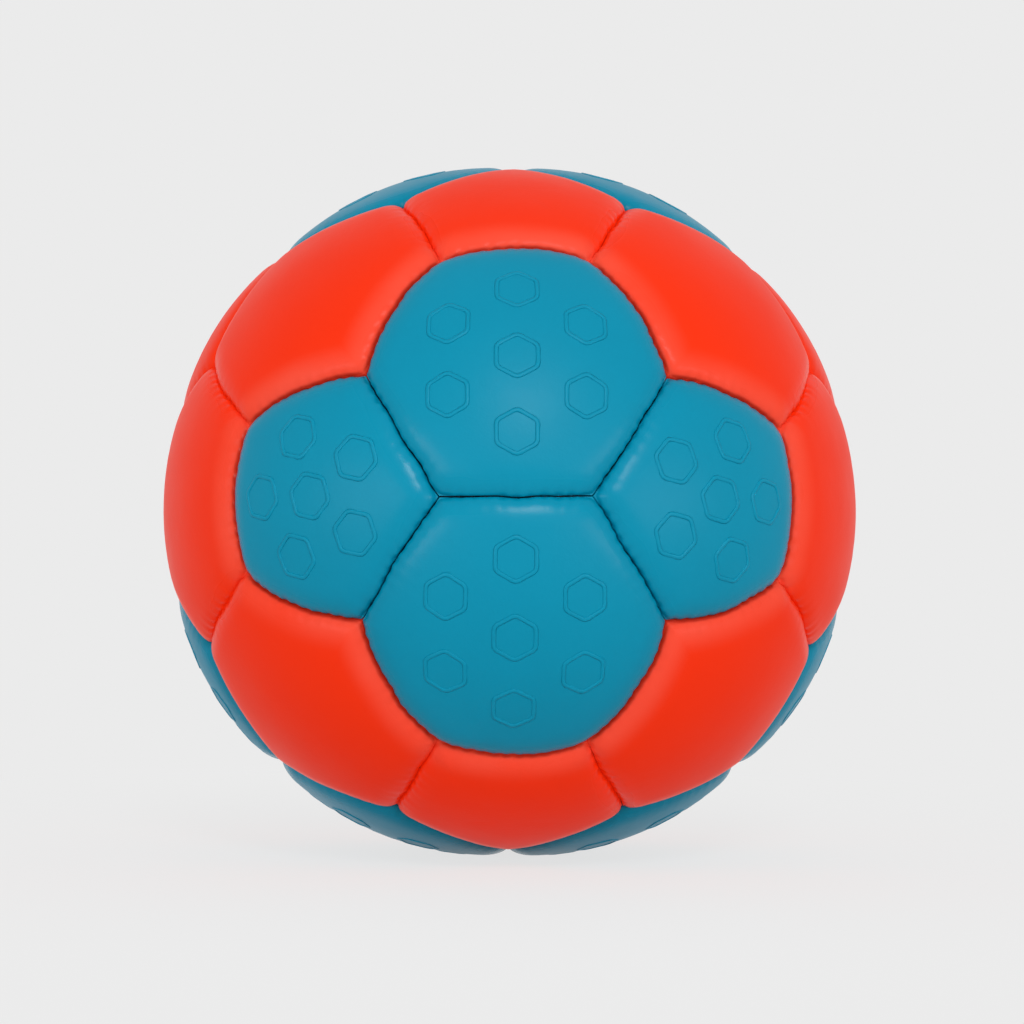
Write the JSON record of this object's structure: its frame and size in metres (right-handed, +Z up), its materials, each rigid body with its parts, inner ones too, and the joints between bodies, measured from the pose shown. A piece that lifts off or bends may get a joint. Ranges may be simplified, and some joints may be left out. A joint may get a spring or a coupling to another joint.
{
  "type": "handball",
  "caption": "Round sports ball of padded pentagon and hexagon panels in teal and red, sewn over an inflated bladder, with a needle valve that has a removable core.",
  "frame": {"origin": "centre of the ball", "axes": "+Z up as the ball is pictured, -Y towards the camera's side, +X to the right seen from the front"},
  "size_m": [0.186, 0.186, 0.186],
  "materials": {
    "cover_teal": "soft satin synthetic leather",
    "cover_red": "soft satin synthetic leather",
    "foam": "closed-cell foam",
    "backing": "laminated woven cotton and polyester",
    "thread": "flat waxed polyester thread",
    "bladder_rubber": "matt latex and butyl rubber",
    "valve_rubber": "matt moulded rubber",
    "valve_core_rubber": "matt moulded rubber"
  },
  "bodies": {
    "ball": {"pentagon_back_left": "cover_teal", "pentagon_back_right": "cover_teal", "pentagon_bottom_back": "cover_red", "pentagon_bottom_front": "cover_red", "pentagon_front_left": "cover_teal", "pentagon_front_right": "cover_teal", "pentagon_left_lower": "cover_teal", "pentagon_left_upper": "cover_red", "pentagon_right_lower": "cover_teal", "pentagon_right_upper": "cover_red", "pentagon_top_back": "cover_red", "pentagon_top_front": "cover_red", "hexagon_back_lower": "cover_teal", "hexagon_back_lower_left": "cover_red", "hexagon_back_lower_right": "cover_red", "hexagon_back_upper": "cover_teal", "hexagon_back_upper_left": "cover_red", "hexagon_back_upper_right": "cover_red", "hexagon_bottom_left": "cover_teal", "hexagon_bottom_right": "cover_teal", "hexagon_front_lower": "cover_teal", "hexagon_front_lower_left": "cover_red", "hexagon_front_lower_right": "cover_red", "hexagon_front_upper": "cover_teal", "hexagon_front_upper_left": "cover_red", "hexagon_front_upper_right": "cover_red", "hexagon_left_back": "cover_red", "hexagon_left_front": "cover_red", "hexagon_right_back": "cover_red", "hexagon_right_front": "cover_red", "hexagon_top_left": "cover_teal", "hexagon_top_right": "cover_teal", "pentagon_foam_pads": "foam", "hexagon_foam_pads": "foam", "pentagon_backings": "backing", "hexagon_backings": "backing", "pentagon_seam_stitching": "thread", "hexagon_seam_stitching": "thread", "bladder": "bladder_rubber", "valve_patch": "bladder_rubber", "valve_housing": "valve_rubber"},
    "valve_core_plug": {"valve_core": "valve_core_rubber"}
  },
  "joints": [
    {"name": "valve_core_pull", "type": "slide", "parent": "ball", "child": "valve_core_plug", "axis": [0, 0.9342, 0.3568], "range_m": [0, 0.02]}
  ]
}
